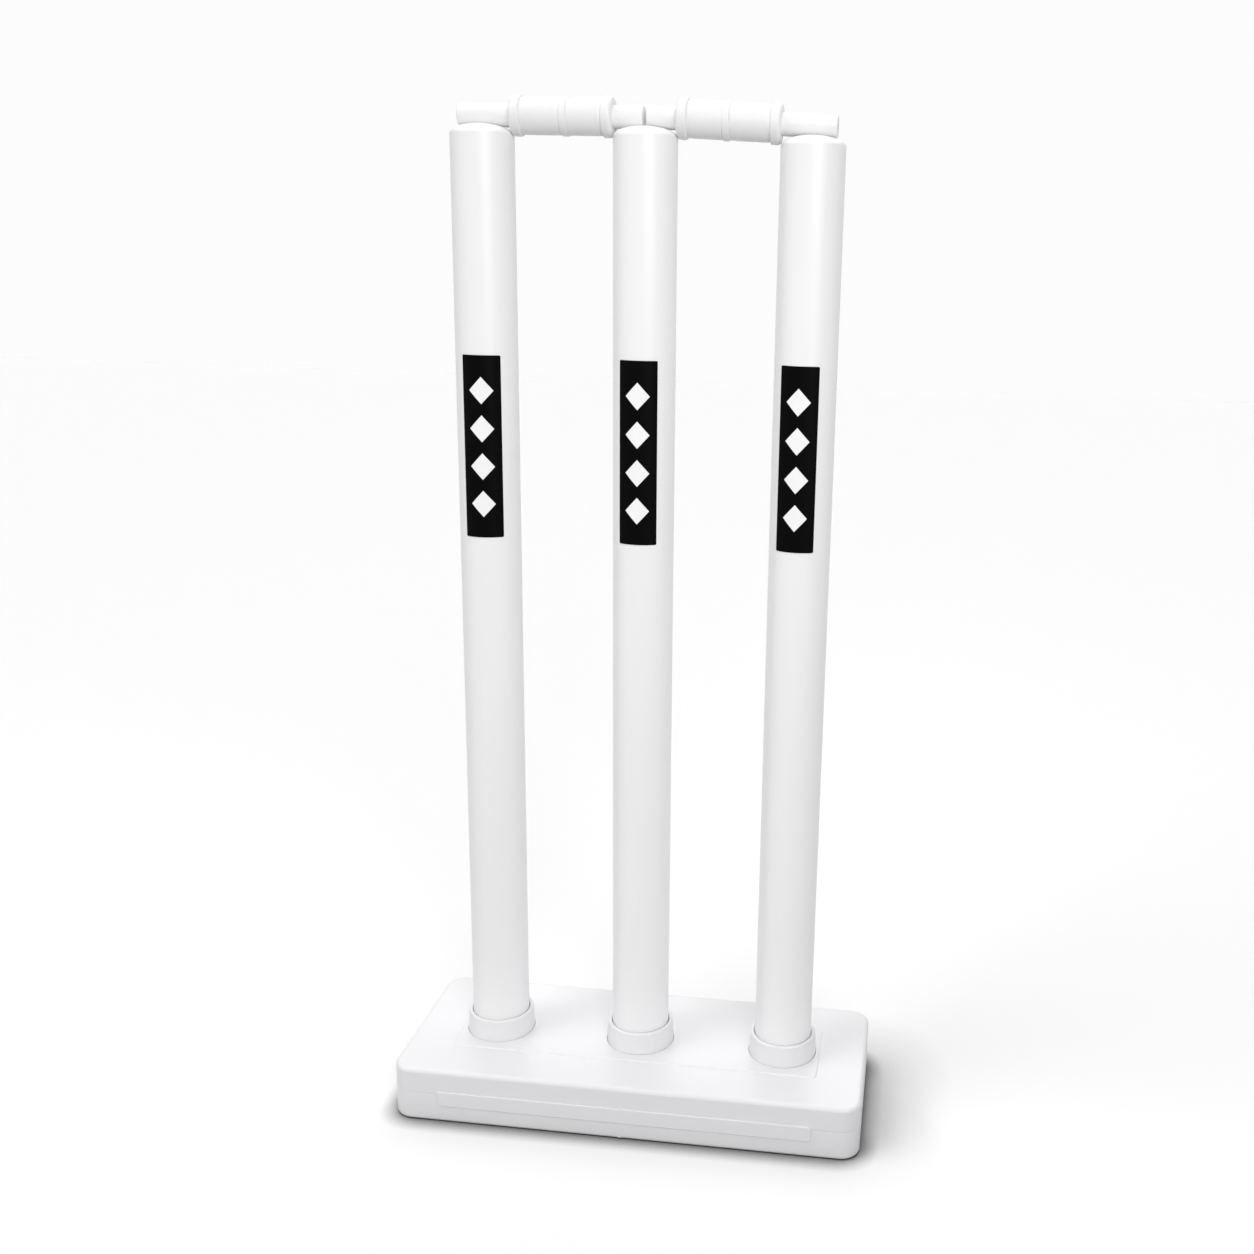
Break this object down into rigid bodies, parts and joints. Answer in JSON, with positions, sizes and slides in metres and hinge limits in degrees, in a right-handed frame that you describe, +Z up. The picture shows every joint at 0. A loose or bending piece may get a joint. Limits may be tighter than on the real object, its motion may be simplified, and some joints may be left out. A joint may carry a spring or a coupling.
{
  "type": "cricket stumps",
  "caption": "Free-standing cricket stumps: hollow upright stumps with grooved crowns in a hollow base with collars, loose bails on top.",
  "frame": {"origin": "on the ground under the middle of the base, which is the middle of the row of stumps", "axes": "+X along the row of stumps to the right as seen from the labelled front, +Y to the back, +Z up along the stumps"},
  "size_m": [0.3006, 0.1222, 0.6273],
  "materials": {
    "base_plastic": "white, semi-gloss",
    "stump_plastic": "white, glossy",
    "bail_plastic": "white, satin",
    "label_vinyl": "black, glossy sticker",
    "screw_steel": "zinc plated"
  },
  "bodies": {
    "base": {"base_cover": "base_plastic", "base_tray": "base_plastic", "left_socket": "base_plastic", "middle_socket": "base_plastic", "right_socket": "base_plastic", "base_screw_1": "screw_steel", "base_screw_2": "screw_steel", "base_screw_3": "screw_steel", "base_screw_4": "screw_steel", "base_screw_5": "screw_steel", "base_screw_6": "screw_steel"},
    "middle_stump": {"middle_stump": "stump_plastic", "middle_stump_label": "label_vinyl"},
    "left_stump": {"left_stump": "stump_plastic", "left_stump_label": "label_vinyl"},
    "right_stump": {"right_stump": "stump_plastic", "right_stump_label": "label_vinyl"},
    "left_bail": {"left_bail": "bail_plastic"},
    "right_bail": {"right_bail": "bail_plastic"}
  },
  "joints": [
    {"name": "middle_stump_lift", "type": "slide", "parent": "base", "child": "middle_stump", "axis": [0, 0, 1], "range_m": [0, 0.08]},
    {"name": "left_stump_lift", "type": "slide", "parent": "base", "child": "left_stump", "axis": [0, 0, 1], "range_m": [0, 0.08]},
    {"name": "right_stump_lift", "type": "slide", "parent": "base", "child": "right_stump", "axis": [0, 0, 1], "range_m": [0, 0.08]},
    {"name": "left_bail_lift", "type": "slide", "parent": "middle_stump", "child": "left_bail", "axis": [0, 0, 1], "range_m": [0, 0.03]},
    {"name": "right_bail_lift", "type": "slide", "parent": "middle_stump", "child": "right_bail", "axis": [0, 0, 1], "range_m": [0, 0.03]}
  ],
  "couplings": [
    {"joint": "left_stump_lift", "follows": "middle_stump_lift", "ratio": 1},
    {"joint": "right_stump_lift", "follows": "middle_stump_lift", "ratio": 1}
  ]
}
